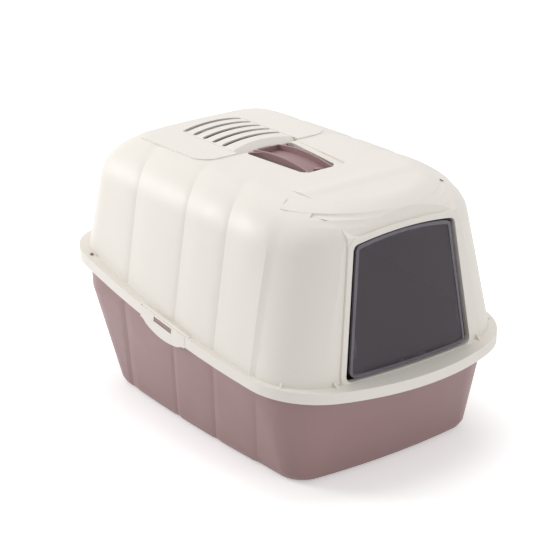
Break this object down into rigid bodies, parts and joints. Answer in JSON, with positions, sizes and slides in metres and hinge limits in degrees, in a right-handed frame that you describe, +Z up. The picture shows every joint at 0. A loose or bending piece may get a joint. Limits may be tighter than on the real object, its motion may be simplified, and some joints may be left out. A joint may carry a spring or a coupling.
{
  "type": "covered litter box",
  "caption": "Covered cat litter box: a tray under a lift-off hood with a swinging door flap, a vented filter cover, a carrying handle and side latches.",
  "frame": {"origin": "centre of the footprint, on the surface that the tray stands on", "axes": "+Z up, +Y towards the rear along the long axis, the door faces -Y, +X to the right of someone facing the door from behind it"},
  "size_m": [0.382, 0.5603, 0.3575],
  "materials": {
    "tray_plastic": "satin moulded polypropylene, dusty mauve",
    "hood_plastic": "satin moulded polypropylene, warm cream",
    "flap_plastic": "smoky translucent acrylic",
    "filter_foam": "black charcoal foam pad"
  },
  "bodies": {
    "tray": {"litter_tray": "tray_plastic"},
    "hood": {"hood_shell": "hood_plastic", "charcoal_filter": "filter_foam", "carry_handle": "tray_plastic"},
    "flap": {"door_flap": "flap_plastic"},
    "cover": {"filter_cover": "hood_plastic"},
    "latch_left": {"side_latch_left": "hood_plastic"},
    "latch_right": {"side_latch_right": "hood_plastic"}
  },
  "joints": [
    {"name": "hood_lift", "type": "slide", "parent": "tray", "child": "hood", "axis": [0, 0, 1], "range_m": [0, 0.32]},
    {"name": "flap_swing", "type": "hinge", "parent": "hood", "child": "flap", "pos_m": [0, -0.2227, 0.308], "axis": [1, 0, 0], "range_deg": [-70, 70]},
    {"name": "cover_hinge", "type": "hinge", "parent": "hood", "child": "cover", "pos_m": [0, 0.18517, 0.34806], "axis": [-1, 0, 0], "range_deg": [0, 80]},
    {"name": "latch_left_hinge", "type": "hinge", "parent": "hood", "child": "latch_left", "pos_m": [-0.1866, 0.01825, 0.16261], "axis": [0, 0.9927, 0.121], "range_deg": [0, 45]},
    {"name": "latch_right_hinge", "type": "hinge", "parent": "hood", "child": "latch_right", "pos_m": [0.1866, 0.01825, 0.16261], "axis": [0, -0.9927, -0.121], "range_deg": [0, 45]}
  ]
}
